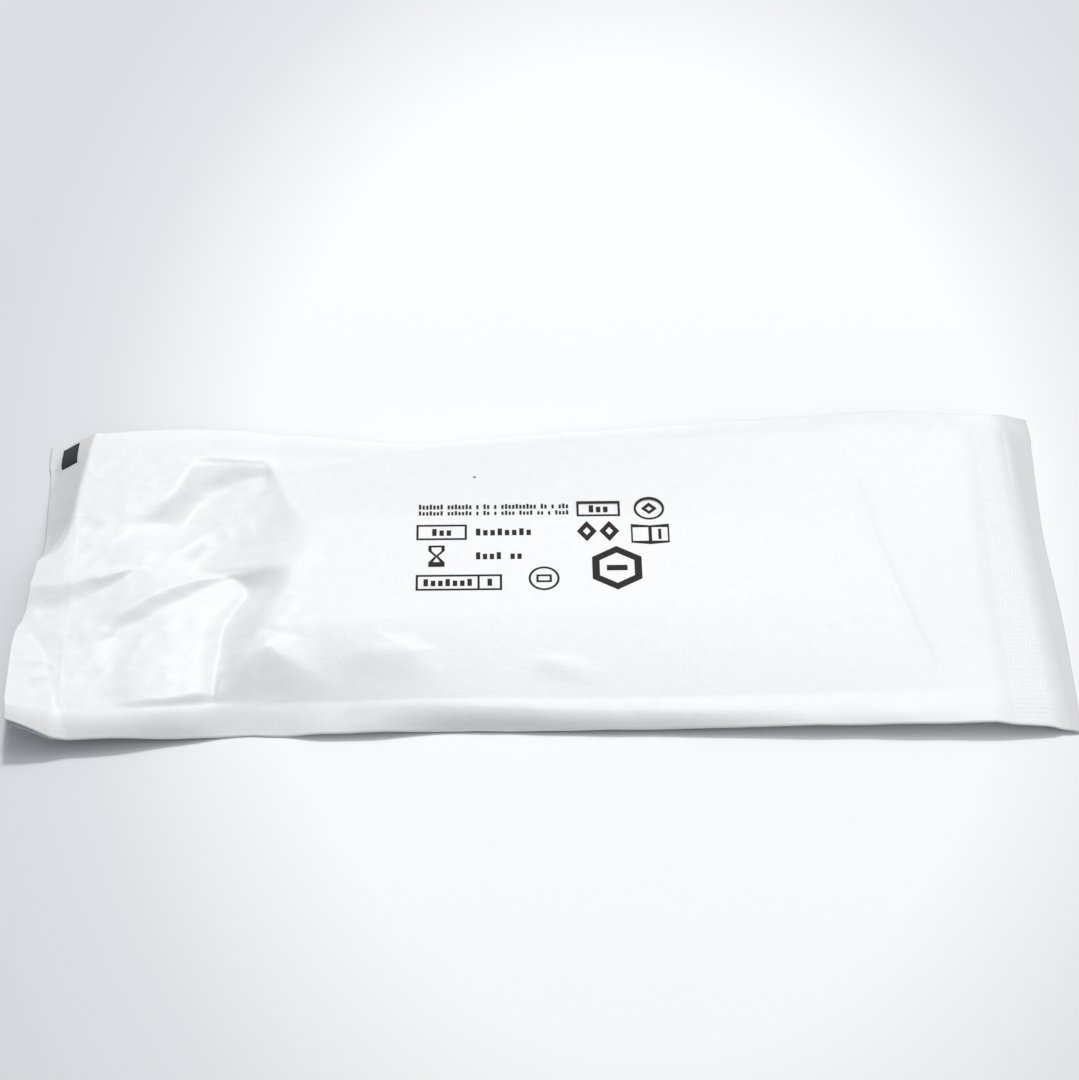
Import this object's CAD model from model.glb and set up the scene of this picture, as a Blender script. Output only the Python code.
import math

import bpy
import numpy as np
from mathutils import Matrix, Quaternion, Vector


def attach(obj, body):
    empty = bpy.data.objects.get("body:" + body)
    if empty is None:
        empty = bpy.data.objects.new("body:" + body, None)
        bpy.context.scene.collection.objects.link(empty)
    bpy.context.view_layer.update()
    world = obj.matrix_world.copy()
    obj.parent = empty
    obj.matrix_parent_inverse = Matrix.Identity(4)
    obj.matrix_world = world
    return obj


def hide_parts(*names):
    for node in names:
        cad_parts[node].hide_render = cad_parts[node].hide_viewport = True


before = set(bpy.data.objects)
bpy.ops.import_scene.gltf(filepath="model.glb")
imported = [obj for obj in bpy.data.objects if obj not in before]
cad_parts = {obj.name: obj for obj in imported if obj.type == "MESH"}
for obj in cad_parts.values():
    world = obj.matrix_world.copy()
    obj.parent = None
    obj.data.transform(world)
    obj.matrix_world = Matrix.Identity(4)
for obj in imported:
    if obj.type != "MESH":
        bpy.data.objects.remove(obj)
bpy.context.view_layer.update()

MM = 0.001

# Sizes of the part, in millimetres, as in its source.
PACK_L, PACK_W, WEB_T = 228.0, 92.5, 0.3
SIDE_SEAL, END_SEAL, PEEL_SEAL, PEEL_TAB = 8.5, 10.0, 8.5, 5.7
DROPPER_N, DROPPER_L, END_GAP, TIP_RUN = 5, 155.0, 3.8, 20.0
BULB_PITCH, BULB_H, STEM_PITCH, STEM_H = 11.0, 7.6, 6.5, 4.8
FLAP_FALL, CORNER_RISE, GROOVE_D = 0.62, 0.26, 0.4
HALF_L, HALF_W = PACK_L / 2, PACK_W / 2
SEAL_X = HALF_L - PEEL_TAB - PEEL_SEAL
CONTENTS_X1 = SEAL_X - END_GAP
CONTENTS_X0 = CONTENTS_X1 - DROPPER_L
STATIONS = np.array([-HALF_L, -HALF_L + END_SEAL, CONTENTS_X0, CONTENTS_X1,
                     SEAL_X, HALF_L - PEEL_TAB, HALF_L])
ROUND_PART, FLAT_SHARE, BOW = 0.2, 0.7, 1.3
TIP_SLANT, GROOVE_SKEW, GROOVE_W, END_REACH, CREASES_END = 0.2, 2.0, 2.2, 16.0, 2.1


def table(*rows):
    return np.array(rows, float)


# Tables along the pack, [place along, mm], where a place is counted in stations: heights of the
# edges and the seal lines, and how far each is pulled in.  FRONT_CURL holds powers instead of mm.
FRONT_EDGE_Z = table([0, 4.5], [0.5, 3.8], [1, 3], [1.25, 2.8], [1.62, 0.8], [1.8, 0.1],
                     [2.02, 0.1], [2.09, 1.1], [2.3, 0.2], [2.55, 1.1], [2.75, 2.1], [3, 2.9],
                     [5, 1.6], [6, 0.3])
FRONT_SEAL_Z = table([0, 6], [1.1, 5.2], [1.5, 4.8], [1.82, 3.1], [2.02, 2.4], [2.1, 2.8], [2.2, 3.6],
                     [2.32, 3.8], [2.45, 3.4], [2.6, 3.2], [2.8, 3.1], [3, 3.3], [4, 3], [5, 2.2], [6, 0.1])
REAR_SEAL_Z = table([0, 6.4], [1, 6.8], [1.5, 6.8], [1.75, 6.3], [2, 5.2], [2.3, 4.2], [2.6, 4.2],
                    [3, 4.5], [4, 4.2], [5, 3.3], [6, 0.1])
REAR_EDGE_Z = table([0, 5.4], [1, 5.8], [1.5, 3.4], [2, 1.5], [2.2, 0.4], [2.4, 0.6],
                    [2.65, 2], [2.9, 3.7], [3.5, 2.8], [5, 0.7], [6, 0.5])
FRONT_IN = table([0, 3.9], [0.5, 2.7], [1, 1.5], [1.25, 1.8], [1.6, 2.7], [1.8, 3.5],
                 [1.95, 3.8], [2.1, 3.1], [2.25, 3.7], [2.4, 3], [2.6, 2.3], [2.8, 1.7],
                 [3, 1.1], [5, 0.5], [6, 0])
REAR_IN = table([0, 3.2], [0.6, 3.9], [1.08, 4.2], [1.39, 1.9], [1.6, 1.2], [1.85, 1.4],
                [2.02, 2.1], [2.16, 4.7], [2.22, 4.7], [2.38, 2.9], [2.6, 1.6], [2.84, 1],
                [2.92, 0.7], [3, 2], [3.5, 1.4], [4.9, 0], [6, 1.4])
FRONT_LINE_IN = table([0, 0], [1, -0.4], [1.24, -0.9], [1.5, 0], [1.82, 1.7], [2.06, 1.8],
                      [2.2, 1.4], [2.4, 0.8], [2.6, 0.6], [2.8, 1], [3, 0.9], [4, 0.9], [5, 0.8], [6, 0])
FRONT_CURL = table([0, 2], [1.6, 2], [1.9, 1.2], [2.1, 1.4], [2.2, 2.2], [2.45, 3.6], [2.8, 3], [6, 3])
REAR_LINE_IN = table([0, 3], [1, 4.4], [1.3, 4.7], [1.8, 5.3], [2.08, 5.6], [2.16, 5], [2.25, 3.5],
                     [2.45, 1.4], [2.7, 0.9], [3, 0.3], [6, 0.4])
# Pull-ins of the two ends across the pack, [place across, mm].
SLACK_IN = table([0, 0.3], [0.7, 0.3], [1.1, 0], [1.25, 0.3], [1.35, 1.7], [1.5, 2.7],
                 [1.65, 3.3], [1.85, 2.7], [2.2, 1.8], [3, 1.7])
PEEL_IN = table([0, 0.6], [0.8, 0], [1.3, 0.2], [1.65, 1.3], [2.1, 0.5], [3, 0.9])
# Foot and top of the mound over the bulbs, [place across, mm from where the droppers start].
MOUND_FOOT = table([1, -11], [1.1, -11], [1.28, -9.8], [1.36, -7.4], [1.43, -5], [1.48, -8],
                   [1.53, -17], [1.65, -14], [1.75, -8], [1.9, -3], [2, -3])
MOUND_TOP = table([1, -8.5], [1.04, -7], [1.17, -1], [1.28, 0.8], [1.38, 3], [1.5, 6],
                  [1.6, 8.5], [1.77, 7], [1.9, 6], [2, 6])
# Fold lines of the turned-down and the turned-up corner, [mm from the front edge, mm from the
# slack end].
FLAP_LINE = table([48, 0], [52, 5], [56, 7.4], [61, 9], [90, 12.8])
CORNER_LINE = table([0, 14], [12, 9.4], [23, 6.8], [31, 0])

# Creases of the slack end from front to rear: how soft each is, from 0 to 1, and its points,
# [place along, place across, rise in mm].
CREASES = [
    (0.2, table([0, 1.02, 0], [1, 1.02, 0.2], [1.27, 1.02, 0.1], [1.38, 1.02, 0.5], [1.58, 1.02, 0.9],
                [1.69, 1.03, 1.1], [1.79, 1.03, 0.3], [1.86, 1.09, 1.1], [1.92, 1.13, 1.6],
                [2, 1.17, 1.7], [2.02, 1.15, 1.5], [2.06, 1.09, 0.4], [2.1, 1.04, 0])),
    (0.6, table([0, 1.1, 0.3], [1, 1.1, 0.5], [1.26, 1.1, 0.4], [1.36, 1.12, 0.8], [1.58, 1.14, 1.1],
                [1.69, 1.19, 1.1], [1.79, 1.21, 0.1], [1.91, 1.23, 0.1], [2.01, 1.24, 0.2],
                [2.07, 1.21, 0])),
    (0.7, table([0, 1.19, 0.7], [1, 1.2, 0.8], [1.2, 1.22, 0.8], [1.275, 1.275, 0.5], [1.4, 1.325, 0.7],
                [1.47, 1.355, 0.8], [1.53, 1.38, 0.8], [1.64, 1.426, 0.8], [1.75, 1.465, 0.9],
                [1.81, 1.485, 0.9], [1.87, 1.47, 0.5], [2.01, 1.42, 0])),
    (0.15, table([0, 1.26, 1.2], [1, 1.28, 1.3], [1.2, 1.31, 1.6], [1.275, 1.342, 1.9],
                [1.4, 1.393, 2.2], [1.47, 1.42, 2.2], [1.55, 1.445, 2.1], [1.615, 1.465, 1.9],
                [1.7, 1.482, 1.5], [1.81, 1.495, 1.1], [1.87, 1.49, 0.7], [2, 1.52, 0.4],
                [2.07, 1.59, 0])),
    (0.8, table([0, 1.345, 0.5], [1.01, 1.378, 0.6], [1.1, 1.405, 0.7], [1.18, 1.44, 0.9],
                [1.27, 1.48, 1.2], [1.32, 1.505, 1.3], [1.4, 1.495, 1.4], [1.48, 1.48, 1.5],
                [1.62, 1.49, 1], [1.745, 1.5, 0.5], [1.865, 1.515, 0.4], [2, 1.55, 0.3],
                [2.07, 1.63, 0])),
    (0.2, table([0, 1.44, 1.9], [0.98, 1.462, 2.1], [1.1, 1.475, 2.3], [1.18, 1.487, 2.4],
                [1.28, 1.508, 2.2], [1.335, 1.528, 1.5], [1.4, 1.535, 1.2], [1.48, 1.525, 1],
                [1.62, 1.52, -0.1], [1.745, 1.53, -0.1], [1.865, 1.55, 0], [2.01, 1.6, 0],
                [2.06, 1.66, 0])),
    (0.8, table([0, 1.54, 0.9], [1, 1.55, 0.9], [1.2, 1.55, 0.9], [1.33, 1.55, 1.1], [1.48, 1.56, 0.8],
                [1.575, 1.55, 0.2], [1.66, 1.575, -0.5], [1.745, 1.6, -0.6], [1.865, 1.64, -0.4],
                [1.95, 1.67, -0.2], [2.07, 1.72, 0])),
    (0.8, table([0, 1.62, 0.6], [1, 1.62, 0.7], [1.2, 1.61, 0.8], [1.335, 1.59, 1], [1.45, 1.58, 0.8],
                [1.575, 1.61, 0.6], [1.66, 1.655, 0.3], [1.75, 1.7, 0.4], [1.86, 1.75, 0.5],
                [1.95, 1.83, 0.4], [2.015, 1.9, 0.2], [2.08, 1.92, 0])),
    (0.9, table([0, 1.69, 0.5], [1, 1.69, 0.6], [1.225, 1.69, 0.4], [1.32, 1.7, 0], [1.4, 1.715, -0.6],
                [1.5, 1.73, -1.7], [1.56, 1.77, -2.6], [1.64, 1.832, -2.6], [1.74, 1.882, -2.2],
                [1.8, 1.91, -1.8], [1.9, 1.93, -1.2], [2, 1.945, -0.6], [2.09, 1.955, 0])),
    (0.8, table([0, 1.76, 0.6], [1, 1.76, 0.8], [1.2, 1.765, 0.9], [1.3, 1.79, 0.9], [1.4, 1.81, 0.8],
                [1.48, 1.835, 0.7], [1.545, 1.91, 0.4], [1.58, 1.97, 0], [1.64, 1.985, -0.3],
                [1.85, 1.985, -0.3], [2.05, 1.985, -0.1])),
]
# Crests on the front flank of the mound: [place along, mm behind the seal line, rise, width on
# the front side, width on the rear side].
CRESTS = [
    table([2.1, 8, 0, 5, 3], [2.15, 11.5, 0.5, 8, 4], [2.19, 12, 0.5, 9, 4], [2.24, 5, 0, 6, 3]),
    table([2.36, 7, 0, 4, 3], [2.4, 9, 0.35, 6, 3], [2.43, 7.5, 0.2, 5, 3], [2.47, 5, 0, 3, 3]),
]


def track(points, at):
    """Smooth curve through a table of [place, value]."""
    px, pv = points[:, 0], points[:, 1]
    n = len(px)
    a, b = np.maximum(np.arange(n) - 1, 0), np.minimum(np.arange(n) + 1, n - 1)
    m = (pv[b] - pv[a]) / (px[b] - px[a])
    t = np.clip(at, px[0], px[-1])
    i = np.clip(np.searchsorted(px, t, side="right") - 1, 0, n - 2)
    h = px[i + 1] - px[i]
    u = (t - px[i]) / h
    return (pv[i] * (2 * u ** 3 - 3 * u ** 2 + 1) + pv[i + 1] * (3 * u ** 2 - 2 * u ** 3)
            + h * (m[i] * (u ** 3 - 2 * u ** 2 + u) + m[i + 1] * (u ** 3 - u ** 2)))


def clamp(v):
    return np.clip(v, 0, 1)


def ease(v):
    v = clamp(v)
    return v * v * (3 - 2 * v)


def rounded_up(r):
    soft = ROUND_PART
    v = np.maximum(r, 0) * (1 + soft)
    return np.where(v < 1 - soft, v, np.where(v > 1 + soft, 1, 1 - (1 + soft - v) ** 2 / (4 * soft)))


def place_along(x):
    return np.interp(x, STATIONS, range(7))


def edges(s):
    """The front edge, both seal lines and the rear edge at a place along the pack."""
    return np.stack(np.broadcast_arrays(
        -HALF_W + np.maximum(0, track(FRONT_IN, s)), SIDE_SEAL - HALF_W + track(FRONT_LINE_IN, s),
        HALF_W - SIDE_SEAL - track(REAR_LINE_IN, s), HALF_W - np.maximum(0, track(REAR_IN, s))))


def pick(stack, k):
    return np.take_along_axis(stack, k[None], 0)[0]


def place_across(y, e):
    i = (y >= e[1]).astype(int) + (y >= e[2])
    a, b = pick(e, i), pick(e, i + 1)
    return i + (y - a) / (b - a)


def row_y(x, v):
    e = edges(place_along(x))
    i = np.clip(np.floor(v).astype(int), 0, 2)
    a, b = pick(e, i), pick(e, i + 1)
    return a + (v - i) * (b - a)


# How much a soft fold bends the slope beside it, and the least gap to divide by between creases.
FOLD_BEND, LEAST_GAP = 0.9, 0.001


def crease_rise(s, v):
    """Rise of the creased paper: sharp at a crest, eased into a soft fold."""
    at = np.stack([np.ones_like(s)] + [track(c[:, [0, 1]], s) for _, c in CREASES] + [np.full_like(s, 2.0)])
    up = np.stack([np.zeros_like(s)] + [track(c[:, [0, 2]], s) for _, c in CREASES] + [np.zeros_like(s)])
    at = np.maximum.accumulate(at, 0)
    soft = np.array([0.5] + [k for k, _ in CREASES] + [0.5])
    k = np.clip((at <= v[None]).sum(0), 1, len(at) - 1)
    u = clamp((v - pick(at, k - 1)) / np.maximum(pick(at, k) - pick(at, k - 1), LEAST_GAP))
    sa, sb = soft[k - 1], soft[k]
    p, q = 1 + FOLD_BEND * sa, 1 + FOLD_BEND * sb
    w = u ** p * (1 - u) + (1 - (1 - u) ** q) * u
    return pick(up, k - 1) + w * (pick(up, k) - pick(up, k - 1))


def crest_rise(c, x, d):
    best = np.full(x.shape, -9.0)
    px = np.interp(c[:, 0], range(7), STATIONS)
    for k in range(len(c) - 1):
        dx, dy = px[k + 1] - px[k], c[k + 1, 1] - c[k, 1]
        run = math.hypot(dx, dy)
        dx, dy = dx / run, dy / run
        rx, ry = x - px[k], d - c[k, 1]
        t = clamp((rx * dx + ry * dy) / run)
        off = np.hypot(rx - t * run * dx, ry - t * run * dy)
        side = np.where(dx * ry - dy * rx > 0, 4, 3)
        w = c[k, side] + (c[k + 1, side] - c[k, side]) * t
        best = np.maximum(best, (c[k, 2] + (c[k + 1, 2] - c[k, 2]) * t) * ease(1 - off / w))
    return best


def corner_rise(x, y):
    d, e = y + HALF_W, x + HALF_L
    c = np.where(d < CORNER_LINE[3, 0], np.interp(d, CORNER_LINE[:, 0], CORNER_LINE[:, 1]), 0)
    return CORNER_RISE * np.maximum(0, c - e)


def flap_drop(x, y):
    d, e = y + HALF_W, x + HALF_L
    f = np.where(d > FLAP_LINE[0, 0], np.interp(d, FLAP_LINE[:, 0], FLAP_LINE[:, 1]), 0)
    return FLAP_FALL * np.maximum(0, f - e)


CROWN_FALL = (BULB_H - STEM_H) / DROPPER_L


def crown_z(x):
    return BULB_H - CROWN_FALL * (x - CONTENTS_X0)


def pitch(x):
    return BULB_PITCH + (STEM_PITCH - BULB_PITCH) * clamp((x - CONTENTS_X0) / DROPPER_L)


def panel_half(x):
    return (DROPPER_N - 1) / 2 * pitch(x)


def tip_drop(x, y, level):
    x0 = CONTENTS_X1 - TIP_RUN - TIP_SLANT * y
    return (crown_z(SEAL_X) - level) * clamp((x - x0) / (SEAL_X - x0))


def groove(x, y):
    return GROOVE_D * np.maximum(0, 1 - np.abs(x - STATIONS[5] + GROOVE_SKEW * y / HALF_W) / GROOVE_W)


def sheet_z(x, y):
    """Height of the sheet above the floor."""
    s = place_along(x)
    e = edges(s)
    v = place_across(y, e)
    fs, rs = track(FRONT_SEAL_Z, s), track(REAR_SEAL_Z, s)
    level = fs + (rs - fs) * clamp(v - 1)
    inside = np.minimum(y - e[1], e[2] - y)
    foot, top = CONTENTS_X0 + track(MOUND_FOOT, v), CONTENTS_X0 + track(MOUND_TOP, v)
    side = inside / np.maximum((e[2] - e[1]) / 2 - FLAT_SHARE * panel_half(x), 1)
    up = np.minimum(np.minimum(1 - (1 - clamp(side)) ** BOW, rounded_up((x - foot) / (top - foot))),
                    rounded_up((SEAL_X - x) / END_GAP))
    crown = np.maximum(crown_z(x) - tip_drop(x, y, level), level)
    z = (level + (crown - level) * up - (fs - track(FRONT_EDGE_Z, s)) * clamp(1 - v) ** track(FRONT_CURL, s)
         - (rs - track(REAR_EDGE_Z, s)) * clamp(v - 2) ** 2)
    z = z + np.where((s < CREASES_END) & (v > 1) & (v < 2), crease_rise(s, v), 0)
    for c in CRESTS:
        z = z + crest_rise(c, x, y - e[1])
    return np.maximum(0, z + corner_rise(x, y) - flap_drop(x, y) - groove(x, y))


# How many sine waves make up the noise.
WAVE_COUNT = 14


def waves(x, y, seed, low, high):
    """Smooth seeded noise of about unit height, with wavelengths from low to high, in mm."""
    rng = np.random.default_rng(seed)
    out = np.zeros_like(x)
    for _ in range(WAVE_COUNT):
        a = rng.uniform(0, 2 * math.pi)
        f = 2 * math.pi / rng.uniform(low, high)
        p = rng.uniform(0, 2 * math.pi)
        out += np.sin(f * (x * math.cos(a) + y * math.sin(a)) + p)
    return out / math.sqrt(WAVE_COUNT / 2)


# How far a fold is rounded, in mm.
FOLD_REACH = 0.5


def soft_sheet_z(x, y):
    """The sheet with its creases slightly rounded, as a fold in paper is."""
    taps = [(0, 0, 4), (1, 0, 2), (-1, 0, 2), (0, 1, 2), (0, -1, 2),
            (0.8, 0.8, 1), (-0.8, 0.8, 1), (0.8, -0.8, 1), (-0.8, -0.8, 1)]
    total = sum(t[2] for t in taps)
    return sum(w * sheet_z(np.clip(x + FOLD_REACH * a, -HALF_L, HALF_L), y + FOLD_REACH * b)
               for a, b, w in taps) / total


def drawn_in(x, v):
    return (x + np.maximum(0, track(SLACK_IN, v)) * ease(1 - (x + HALF_L) / END_REACH)
            - np.maximum(0, track(PEEL_IN, v)) * ease(1 - (HALF_L - x) / END_REACH))


def within(rise, v, low, high, steepness):
    """A rise that fades out below the low and above the high place across the pack."""
    return rise * ease((v - low) * steepness) * ease((high - v) * steepness)


# Fine relief of the paper, in mm: two kinds of wrinkle in the slack end, waves of the curled edges
# and the lowest height above the floor.
WRINKLE, SMALL_WRINKLE, EDGE_WAVE, LOWEST = 0.05, 0.02, 0.10, 0.02
# How far past the start of the droppers the wrinkles go, and over what length they fade.
WRINKLE_END, WRINKLE_FADE = 14, 16
# The seam near the end seal, which slants across the pack.
SEAM_X, SEAM_SLANT, SEAM_WIDTH, SEAM_RISE = -103.8, 0.03, 0.5, 0.04
# The faint ridge near the peel end: a shallow parabola on a slant, its width and its rise.
RIDGE_X, RIDGE_BEND, RIDGE_MIDDLE, RIDGE_SLANT, RIDGE_PIVOT = 74.6, 0.0021, 26, 0.115, 4
RIDGE_WIDTH, RIDGE_RISE = 0.9, 0.16


def paper_points(x, v):
    """Points of the paper's upper face at places x along and v across, in metres."""
    y = row_y(x, v)
    z = soft_sheet_z(x, y)
    slack = within(ease((CONTENTS_X0 + WRINKLE_END - x) / WRINKLE_FADE), v, 0.9, 2.1, 5)
    fine = 1 - np.abs(waves(x, y, 5, 6, 15))
    z = z + slack * (WRINKLE * fine + SMALL_WRINKLE * waves(x, y, 9, 3, 6))
    seam = np.exp(-((x - SEAM_X + SEAM_SLANT * y) / SEAM_WIDTH) ** 2)
    z = z + SEAM_RISE * within(seam, v, 0.8, 2.2, 4)
    ridge_x = RIDGE_X + RIDGE_BEND * (y - RIDGE_MIDDLE) ** 2 - RIDGE_SLANT * (y + RIDGE_PIVOT)
    ridge = np.exp(-((x - ridge_x) / RIDGE_WIDTH) ** 2)
    z = z + within(RIDGE_RISE * ridge, v, 1.05, 1.9, 8)
    rim = ease(1 - v) + ease(v - 2)
    z = z + EDGE_WAVE * rim * waves(x, y, 21, 9, 26)
    z = np.maximum(z, LOWEST) + WEB_T
    return np.stack([drawn_in(x, v), y, z], -1) * MM


def grid(x_marks, v_marks):
    x, v = np.meshgrid(x_marks, v_marks, indexing="ij")
    return x, v


def spaced(*stretches):
    """Marks from (start, end, step) stretches that follow on from each other."""
    out = []
    for a, b, step in stretches:
        out.append(np.linspace(a, b, max(2, int(round((b - a) / step)) + 1))[:-1])
    return np.concatenate(out + [[stretches[-1][1]]])


def quads(n, m, flip=False):
    i = np.arange(n * m).reshape(n, m)
    f = np.stack([i[:-1, :-1], i[1:, :-1], i[1:, 1:], i[:-1, 1:]], -1).reshape(-1, 4)
    return f[:, ::-1] if flip else f


def rim_loop(n, m):
    i = np.arange(n * m).reshape(n, m)
    return np.concatenate([i[:, 0], i[-1, 1:], i[-2::-1, -1], i[0, -2:0:-1]])


def add_mesh(name, points, faces):
    mesh = bpy.data.meshes.new(name)
    mesh.from_pydata([tuple(p) for p in points], [], [tuple(int(k) for k in f) for f in faces])
    mesh.update()
    for p in mesh.polygons:
        p.use_smooth = True
    obj = bpy.data.objects.new(name, mesh)
    bpy.context.scene.collection.objects.link(obj)
    return obj


def closed_sheet(name, upper, lower):
    """A thin closed sheet between two grids of points."""
    n, m = upper.shape[:2]
    count = n * m
    loop = rim_loop(n, m)
    nxt = np.roll(loop, -1)
    side = np.stack([loop, loop + count, nxt + count, nxt], -1)
    faces = np.concatenate([quads(n, m), quads(n, m, True) + count, side])
    return add_mesh(name, np.concatenate([upper.reshape(-1, 3), lower.reshape(-1, 3)]), faces)


def paper_sheet(name, upper, thickness):
    """The paper as an open skin: its upper face and its cut edge."""
    n, m = upper.shape[:2]
    points = upper.reshape(-1, 3)
    loop = rim_loop(n, m)
    edge = points[loop] - [0, 0, thickness]
    count = n * m
    k = np.arange(len(loop))
    nxt = (k + 1) % len(loop)
    side = np.stack([loop, count + k, count + nxt, loop[nxt]], -1)
    return add_mesh(name, np.concatenate([points, edge]), np.concatenate([quads(n, m), side]))


# Materials.
def new_material(name):
    mat = bpy.data.materials.new(name)
    mat.use_nodes = True
    return mat, mat.node_tree.nodes, mat.node_tree.links, mat.node_tree.nodes["Principled BSDF"]


def noise(nodes, links, coords, scale, detail=3.0, rough=0.6, stretch=(1, 1, 1)):
    mapping = nodes.new("ShaderNodeMapping")
    mapping.inputs["Scale"].default_value = stretch
    tex = nodes.new("ShaderNodeTexNoise")
    tex.inputs["Scale"].default_value = scale
    tex.inputs["Detail"].default_value = detail
    tex.inputs["Roughness"].default_value = rough
    links.new(coords, mapping.inputs["Vector"])
    links.new(mapping.outputs["Vector"], tex.inputs["Vector"])
    return tex.outputs["Fac"]


def maths(nodes, links, op, a, b=None, use_clamp=False):
    node = nodes.new("ShaderNodeMath")
    node.operation = op
    node.use_clamp = use_clamp
    for socket, value in zip(node.inputs, (a, b)):
        if value is None:
            continue
        if isinstance(value, (int, float)):
            socket.default_value = value
        else:
            links.new(value, socket)
    return node.outputs[0]


def bump(nodes, links, height, distance, strength, below=None):
    node = nodes.new("ShaderNodeBump")
    node.inputs["Strength"].default_value = strength
    node.inputs["Distance"].default_value = distance
    links.new(height, node.inputs["Height"])
    if below is not None:
        links.new(below, node.inputs["Normal"])
    return node.outputs["Normal"]


def ramp(nodes, links, fac, stops):
    node = nodes.new("ShaderNodeValToRGB")
    while len(node.color_ramp.elements) < len(stops):
        node.color_ramp.elements.new(0.5)
    for element, (pos, colour) in zip(node.color_ramp.elements, stops):
        element.position = pos
        element.color = (*colour, 1)
    links.new(fac, node.inputs["Fac"])
    return node.outputs["Color"]


# Pitch of the knurl along and across the pack, and how far before the tab it stops, in mm.
KNURL_ALONG, KNURL_ACROSS, KNURL_SHORT = 0.85, 1.15, 0.6
# The bent fold line that the flap's darker colour ends at: its bend, in mm, and its two slopes.
FLAP_BEND, FLAP_SLOPES = (-104.1, 14.75), (0.114, 0.546)
# Where the darker colour of the tab starts, in mm before the tab, and where that of the end seal
# ends, in mm along the pack.
TAB_DIM_BEFORE, SEAL_DIM_X = 2.6, -103.6
# How much darker the tab, the flap and the end seal are than the rest.
TAB_DIM, FLAP_DIM, SEAL_DIM = 0.22, 0.18, 0.07
# A speck of dust on the panel, in mm.
SPECK_AT, SPECK_R = (-14.4, 25.9), 0.45


def step_at(nodes, links, a, b, steepness):
    """A node value that steps softly from 0 to 1 where a passes b, both in metres."""
    return maths(nodes, links, "MULTIPLY", maths(nodes, links, "SUBTRACT", a, b), steepness, True)


def paper_material():
    mat, nodes, links, shader = new_material("medical_paper")
    coords = nodes.new("ShaderNodeTexCoord").outputs["Object"]
    cloud = noise(nodes, links, coords, 420, 4, 0.7)
    fibre = noise(nodes, links, coords, 900, 4, 0.7, (0.35, 1.4, 1))
    cross = noise(nodes, links, coords, 1500, 2, 0.6, (1.3, 0.5, 1))
    mix = maths(nodes, links, "ADD", maths(nodes, links, "MULTIPLY", cloud, 0.6),
                maths(nodes, links, "MULTIPLY", fibre, 0.4))
    tone = ramp(nodes, links, mix, [(0.30, (0.83, 0.84, 0.85)), (0.55, (0.872, 0.877, 0.882)),
                                    (0.75, (0.885, 0.888, 0.891))])
    shader.inputs["Roughness"].default_value = 0.34
    shader.inputs["Specular IOR Level"].default_value = 0.75
    # The knurled seal: a fine crossed pattern pressed into the paper.
    split = nodes.new("ShaderNodeSeparateXYZ")
    links.new(coords, split.inputs[0])
    x, y = split.outputs["X"], split.outputs["Y"]
    along, across = (
        maths(nodes, links, "SINE", maths(nodes, links, "MULTIPLY", at, 2 * math.pi / (gap * MM)))
        for at, gap in ((x, KNURL_ALONG), (y, KNURL_ACROSS)))
    weave = maths(nodes, links, "MAXIMUM", along, across)
    skewed = maths(nodes, links, "ADD", x, maths(nodes, links, "MULTIPLY", y, GROOVE_SKEW / HALF_W))
    # The peel tab, the turned-down flap and the end seal look greyer than the panel, so their colour
    # is dimmed by eye.
    tab = step_at(nodes, links, skewed, (HALF_L - PEEL_TAB - TAB_DIM_BEFORE) * MM, 230.0)
    fold = maths(nodes, links, "MINIMUM", *(
        maths(nodes, links, "ADD", maths(nodes, links, "MULTIPLY", y, slope),
              (FLAP_BEND[0] - FLAP_BEND[1] * slope) * MM)
        for slope in FLAP_SLOPES))
    flap = step_at(nodes, links, fold, x, 1200.0)
    seal = step_at(nodes, links, SEAL_DIM_X * MM, x, 700.0)
    dim = maths(nodes, links, "MAXIMUM", maths(nodes, links, "MULTIPLY", tab, TAB_DIM),
                maths(nodes, links, "MAXIMUM", maths(nodes, links, "MULTIPLY", flap, FLAP_DIM),
                      maths(nodes, links, "MULTIPLY", seal, SEAL_DIM)))
    shade = nodes.new("ShaderNodeMixRGB")
    links.new(dim, shade.inputs["Fac"])
    links.new(tone, shade.inputs["Color1"])
    shade.inputs["Color2"].default_value = (0.0, 0.0, 0.0, 1)
    flat = nodes.new("ShaderNodeCombineXYZ")
    links.new(x, flat.inputs["X"])
    links.new(y, flat.inputs["Y"])
    away = nodes.new("ShaderNodeVectorMath")
    away.operation = "DISTANCE"
    links.new(flat.outputs[0], away.inputs[0])
    away.inputs[1].default_value = (SPECK_AT[0] * MM, SPECK_AT[1] * MM, 0)
    speck = step_at(nodes, links, SPECK_R * MM, away.outputs["Value"], 6000.0)
    dusty = nodes.new("ShaderNodeMixRGB")
    links.new(speck, dusty.inputs["Fac"])
    links.new(shade.outputs["Color"], dusty.inputs["Color1"])
    dusty.inputs["Color2"].default_value = (0.18, 0.16, 0.14, 1)
    links.new(dusty.outputs["Color"], shader.inputs["Base Color"])
    inside = maths(nodes, links, "MULTIPLY",
                   step_at(nodes, links, x, SEAL_X * MM, 2500.0),
                   step_at(nodes, links, (HALF_L - PEEL_TAB - KNURL_SHORT) * MM, skewed, 2500.0))
    knurl = maths(nodes, links, "MULTIPLY", weave, inside)
    fibres = maths(nodes, links, "ADD", fibre, maths(nodes, links, "MULTIPLY", cross, 0.6))
    normal = bump(nodes, links, cloud, 0.00010, 0.35)
    normal = bump(nodes, links, fibres, 0.00007, 0.5, normal)
    normal = bump(nodes, links, knurl, 0.00005, 0.5, normal)
    links.new(normal, shader.inputs["Normal"])
    return mat


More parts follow.
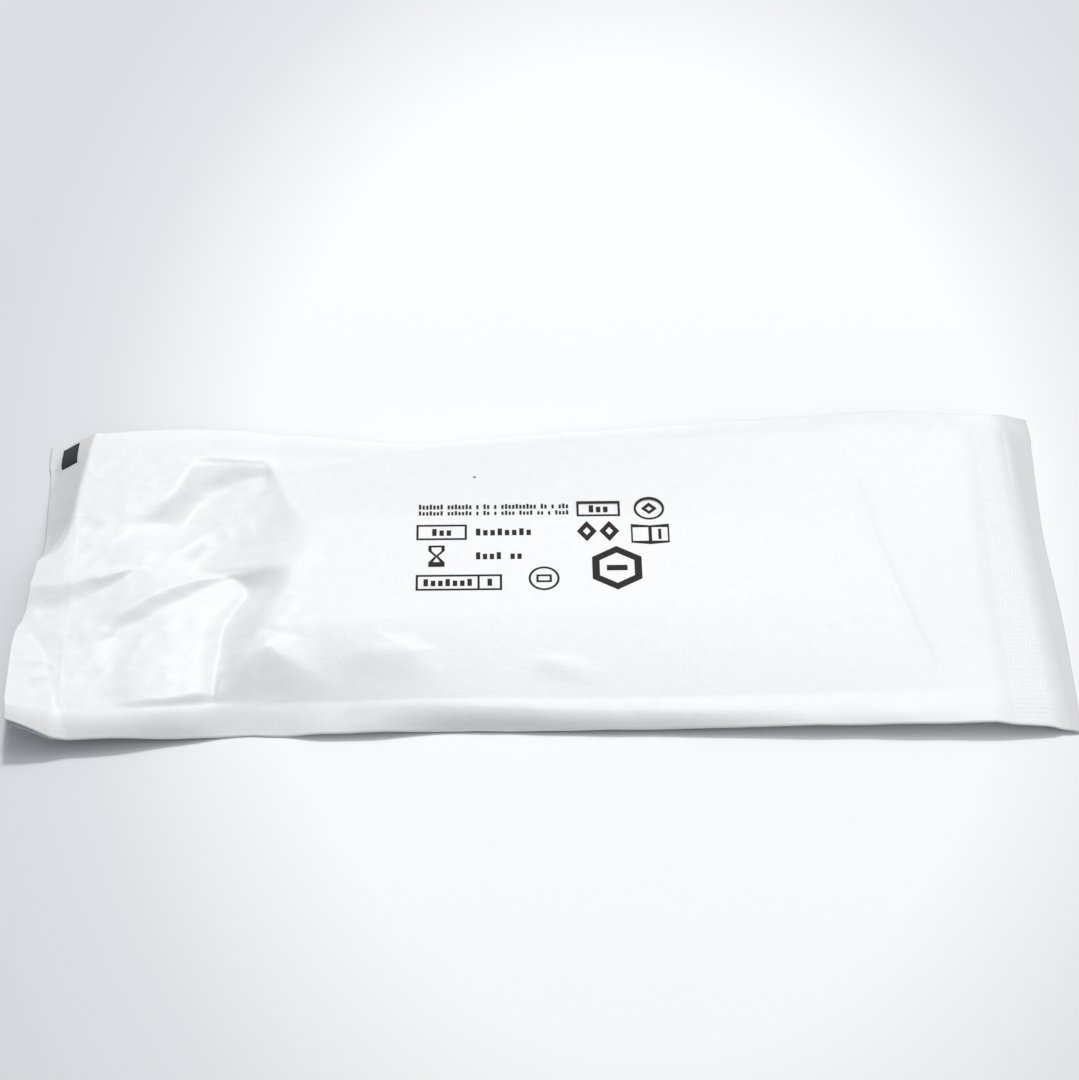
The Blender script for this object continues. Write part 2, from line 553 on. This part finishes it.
def film_material():
    mat, nodes, links, shader = new_material("clear_film")
    coords = nodes.new("ShaderNodeTexCoord").outputs["Object"]
    haze = noise(nodes, links, coords, 60, 3, 0.6)
    links.new(ramp(nodes, links, haze, [(0.35, (0.60, 0.66, 0.72)), (0.7, (0.74, 0.79, 0.83))]),
              shader.inputs["Base Color"])
    links.new(ramp(nodes, links, haze, [(0.3, (0.10, 0.10, 0.10)), (0.8, (0.24, 0.24, 0.24))]),
              shader.inputs["Roughness"])
    shader.inputs["Alpha"].default_value = 0.55
    shader.inputs["Specular IOR Level"].default_value = 0.6
    links.new(bump(nodes, links, haze, 0.0004, 0.3), shader.inputs["Normal"])
    return mat


def ink_material(name, dark, light, rough):
    mat, nodes, links, shader = new_material(name)
    coords = nodes.new("ShaderNodeTexCoord").outputs["Object"]
    grain = noise(nodes, links, coords, 2600, 3, 0.7)
    links.new(ramp(nodes, links, grain, [(0.35, dark), (0.75, light)]), shader.inputs["Base Color"])
    shader.inputs["Roughness"].default_value = rough
    shader.inputs["Specular IOR Level"].default_value = 0.25
    links.new(bump(nodes, links, grain, 0.00004, 0.4), shader.inputs["Normal"])
    return mat


def give(obj, mat):
    obj.data.materials.clear()
    obj.data.materials.append(mat)


# The paper web, with finer steps in the slack end, at the tips and at the peel end.
PAPER_T = 0.16
MOUND_X1, TIPS_X0, TIPS_X1 = CONTENTS_X0 + 20, CONTENTS_X1 - 28, CONTENTS_X1 - 2
paper_grid = grid(spaced((-HALF_L, MOUND_X1, 0.42), (MOUND_X1, TIPS_X0, 1.3),
                         (TIPS_X0, TIPS_X1, 0.6), (TIPS_X1, HALF_L, 0.36)),
                  spaced((0, 1, 1 / 16), (1, 2, 1 / 172), (2, 3, 1 / 14)))
paper = paper_sheet("paper_web", paper_points(*paper_grid), PAPER_T * MM)
give(paper, paper_material())
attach(paper, "root")
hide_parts("sealed_pack")

# The film web: its thickness and its gap under the paper at the welds, in mm.
FILM_T, WELD_GAP = 0.09, 0.01
# How deep the film's hollows between the droppers are, and over what length they start, in mm.
HOLLOW_D, HOLLOW_START = 1.3, 6
# At the raised corner the film lifts by this share less than the paper, and it is shifted by up
# to these lengths along and across the pack, in mm.
FILM_SAG, FILM_SHIFT_X, FILM_SHIFT_Y = 0.5, 0.8, 0.5


def film_points():
    """Points of the film's upper face, in metres: on the floor under the droppers, up to the paper
    at the welds."""
    x, v = grid(spaced((-HALF_L, CONTENTS_X0, 1.0), (CONTENTS_X0, CONTENTS_X1, 1.8),
                       (CONTENTS_X1, HALF_L, 1.0)),
                spaced((0, 1, 1 / 10), (1, 2, 1 / 90), (2, 3, 1 / 9)))
    y = row_y(x, v)
    top = paper_points(x, v) / MM
    e = edges(place_along(x))
    inside = np.minimum(y - e[1], e[2] - y)
    fill = np.minimum(np.minimum(inside / np.maximum((e[2] - e[1]) / 2 - panel_half(x), 1),
                                 (x - STATIONS[1]) / (CONTENTS_X0 - STATIONS[1])),
                      (SEAL_X - x) / (END_GAP + STEM_H))
    weld = top[..., 2] - PAPER_T - WELD_GAP
    between = (1 - np.cos(2 * math.pi * y / pitch(x))) / 2
    hollow = HOLLOW_D * between * ease((x - CONTENTS_X0) / HOLLOW_START) * ease(fill * 1.2)
    corner = corner_rise(x, y)
    z = weld * (1 - ease(fill)) + hollow + FILM_T
    z = np.clip(z - FILM_SAG * corner, FILM_T, weld)
    moved_x = top[..., 0] + FILM_SHIFT_X * ease(corner / 3) * ease(1 - 1.6 * v)
    moved_y = top[..., 1] - FILM_SHIFT_Y * ease(corner / 2)
    return np.stack([moved_x, moved_y, z], -1) * MM


film_upper = film_points()
film_lower = film_upper - [0, 0, FILM_T * MM]
film = closed_sheet("film_web", film_upper, film_lower)
give(film, film_material())
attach(film, "root")
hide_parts("sealed_pack")

# Print.
print_ink = ink_material("print_ink", (0.012, 0.009, 0.008), (0.03, 0.022, 0.018), 0.6)
give(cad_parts["print_marks"], print_ink)

# The black mark, draped on the turned-down corner.
EYE_X, EYE_L, EYE_W, EYE_MARGIN, EYE_HALF_T = 3.1, 4.8, 7.4, 0.7, 0.04
eye_x, share = grid(np.linspace(EYE_X - HALF_L, EYE_X - HALF_L + EYE_L, 15), np.linspace(0, 1, 19))
eye_edges = edges(place_along(eye_x))
eye_y = eye_edges[3] - EYE_MARGIN - EYE_W * (1 - share)
eye_points = paper_points(eye_x, place_across(eye_y, eye_edges))
eye_step = np.array([0, 0, EYE_HALF_T * MM])
mark = closed_sheet("black_mark", eye_points + eye_step, eye_points - eye_step)
give(mark, ink_material("mark_ink", (0.004, 0.004, 0.005), (0.010, 0.010, 0.011), 0.5))
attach(mark, "root")
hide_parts("eye_mark")

# Floor, paler in an oval around the pack: the oval's place and size as the gradient takes them.
FLOOR_HALF = 4
GLOW_SHIFT, GLOW_SCALE = (-0.137, -0.10, 0), (6.4, 3.78, 1)


def floor_material():
    mat, nodes, links, shader = new_material("floor_paper")
    coords = nodes.new("ShaderNodeTexCoord").outputs["Object"]
    mapping = nodes.new("ShaderNodeMapping")
    mapping.inputs["Location"].default_value = GLOW_SHIFT
    mapping.inputs["Scale"].default_value = GLOW_SCALE
    links.new(coords, mapping.inputs["Vector"])
    glow = nodes.new("ShaderNodeTexGradient")
    glow.gradient_type = "SPHERICAL"
    links.new(mapping.outputs["Vector"], glow.inputs["Vector"])
    tone = ramp(nodes, links, glow.outputs["Fac"],
                [(0.0, (0.69, 0.715, 0.74)), (0.2, (0.765, 0.785, 0.81)), (0.45, (0.965, 0.972, 0.98))])
    links.new(tone, shader.inputs["Base Color"])
    shader.inputs["Roughness"].default_value = 1.0
    shader.inputs["Specular IOR Level"].default_value = 0.0
    return mat


floor = add_mesh("floor", [(-FLOOR_HALF, -FLOOR_HALF, 0), (FLOOR_HALF, -FLOOR_HALF, 0),
                           (FLOOR_HALF, FLOOR_HALF, 0), (-FLOOR_HALF, FLOOR_HALF, 0)], [(0, 1, 2, 3)])
give(floor, floor_material())

# Camera: its angles, its distance from the point it looks at, in metres, and its lens, in mm.
ELEVATION, ROLL = math.radians(48.5), math.radians(-1.2)
LOOK_AT, DISTANCE, SENSOR, LENS = Vector((0, 0.0116, 0)), 0.676, 36, 100.4333
camera_data = bpy.data.cameras.new("camera")
camera = bpy.data.objects.new("camera", camera_data)
bpy.context.scene.collection.objects.link(camera)
back = Vector((0, -math.cos(ELEVATION), math.sin(ELEVATION)))
camera.location = LOOK_AT + back * DISTANCE
camera.rotation_mode = "QUATERNION"
camera.rotation_quaternion = (-back).to_track_quat("-Z", "Y") @ Quaternion((0, 0, 1), ROLL)
camera_data.sensor_width = SENSOR
camera_data.lens = LENS
bpy.context.scene.camera = camera


# Lights.
LIGHT_DISTANCE = 4.0


def area_light(name, azimuth, elevation, size, power, colour, height=None):
    """A lamp aimed at the origin, its azimuth turned from the rear of the pack."""
    data = bpy.data.lights.new(name, "AREA")
    if height:
        data.shape, data.size_y = "RECTANGLE", height
    data.size, data.energy, data.color = size, power, colour
    obj = bpy.data.objects.new(name, data)
    bpy.context.scene.collection.objects.link(obj)
    a, el = math.radians(azimuth), math.radians(elevation)
    place = Vector((math.cos(el) * math.sin(a), math.cos(el) * math.cos(a), math.sin(el))) * LIGHT_DISTANCE
    obj.location = place
    obj.rotation_mode = "QUATERNION"
    obj.rotation_quaternion = (-place).to_track_quat("-Z", "Y")
    return obj


key = area_light("key", azimuth=5, elevation=52, size=0.35, power=75, colour=(1.0, 0.99, 0.975))
key.visible_glossy = False
area_light("softbox", azimuth=8, elevation=58, size=1.50, power=36.5, colour=(1.0, 1.0, 1.0),
           height=2.40)

# How the world's light grows with x, y and z of a direction, on top of a level of its own.
SKY_TILT, SKY_LEVEL = (0.28, -0.08, 0.28), 0.25


def build_world():
    world = bpy.data.worlds.new("world")
    bpy.context.scene.world = world
    world.use_nodes = True
    nodes, links = world.node_tree.nodes, world.node_tree.links
    split = nodes.new("ShaderNodeSeparateXYZ")
    links.new(nodes.new("ShaderNodeTexCoord").outputs["Generated"], split.inputs[0])
    tilt_x, tilt_y, tilt_z = (maths(nodes, links, "MULTIPLY", split.outputs[axis], tilt)
                              for axis, tilt in zip("XYZ", SKY_TILT))
    lift = maths(nodes, links, "ADD", maths(nodes, links, "ADD", tilt_z, tilt_x), tilt_y)
    sky = ramp(nodes, links, maths(nodes, links, "ADD", lift, SKY_LEVEL),
               [(0.0, (0.0, 0.0, 0.0)), (1.0, (0.99, 1.0, 1.02))])
    links.new(sky, nodes["Background"].inputs["Color"])
    # What the camera, gloss and clear film see of the world is a plain pale backdrop.
    rays = nodes.new("ShaderNodeLightPath").outputs
    seen = maths(nodes, links, "MAXIMUM", rays["Is Camera Ray"],
                 maths(nodes, links, "MAXIMUM", rays["Is Glossy Ray"], rays["Is Transmission Ray"]))
    pale = nodes.new("ShaderNodeBackground")
    pale.inputs["Color"].default_value = (0.78, 0.80, 0.83, 1)
    backdrop = nodes.new("ShaderNodeMixShader")
    links.new(seen, backdrop.inputs["Fac"])
    links.new(nodes["Background"].outputs[0], backdrop.inputs[1])
    links.new(pale.outputs[0], backdrop.inputs[2])
    links.new(backdrop.outputs[0], nodes["World Output"].inputs["Surface"])


build_world()
bpy.context.scene.view_settings.view_transform = "Standard"
